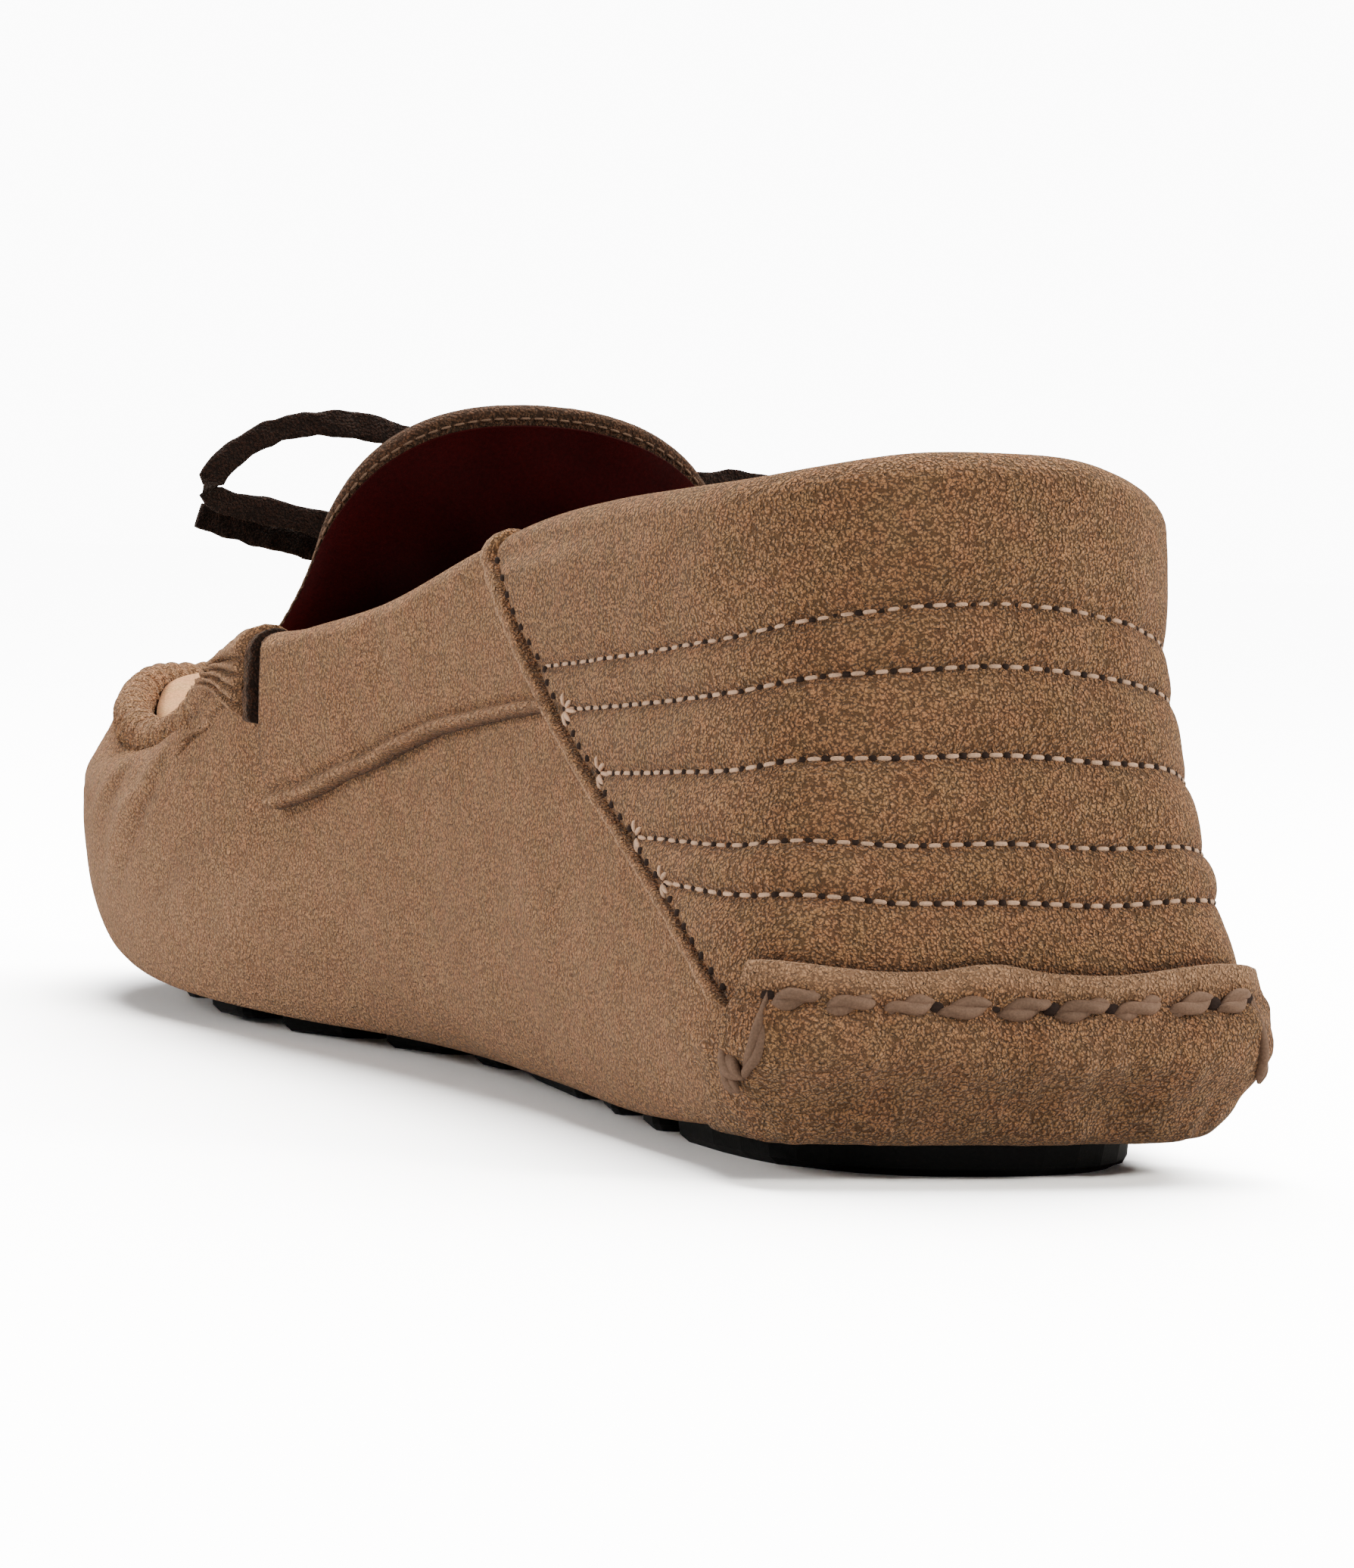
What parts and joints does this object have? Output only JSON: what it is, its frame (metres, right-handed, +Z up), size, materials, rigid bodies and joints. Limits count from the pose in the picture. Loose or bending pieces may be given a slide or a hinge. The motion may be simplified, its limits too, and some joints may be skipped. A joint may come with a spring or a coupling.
{
  "type": "driving moccasin",
  "caption": "Soft suede driving moccasin for the right foot, with a gathered toe seam, padded heel counter, tall tongue with a lace bow, and a sole of separate rubber pads.",
  "frame": {"origin": "on the floor under the middle of the shoe's bounding box", "axes": "+Y from heel to toe, +X to the lateral side of this right shoe, +Z up"},
  "size_m": [0.095, 0.2742, 0.0873],
  "materials": {
    "suede": "matt napped suede, beige brown",
    "pale_suede": "matt napped suede, paler and smoother",
    "dark_suede": "dark brown suede edge",
    "lining_leather": "smooth oxblood lining leather",
    "lace_leather": "flat dark brown leather lace",
    "rubber": "matt black rubber, some pads ribbed"
  },
  "bodies": {
    "root": {"upper": "suede", "counter": "suede", "collar_panel_medial": "suede", "collar_panel_lateral": "suede", "heel_flap": "suede", "apron": "pale_suede", "tongue": "dark_suede", "insole": "lining_leather", "lace_bar": "lace_leather", "heel_pad": "rubber", "tread_bar_1": "rubber", "tread_bar_2": "rubber", "tread_square": "rubber", "tread_bar_3": "rubber", "tread_bar_4": "rubber", "tread_bar_5": "rubber", "tread_bar_6": "rubber", "tread_bar_7": "rubber", "tread_bar_8": "rubber", "tread_bar_9": "rubber", "toe_pad": "rubber", "lace_knot": "lace_leather", "lace_loop_medial": "lace_leather", "lace_loop_lateral": "lace_leather", "lace_end_medial": "lace_leather", "lace_end_lateral": "lace_leather"}
  },
  "joints": []
}
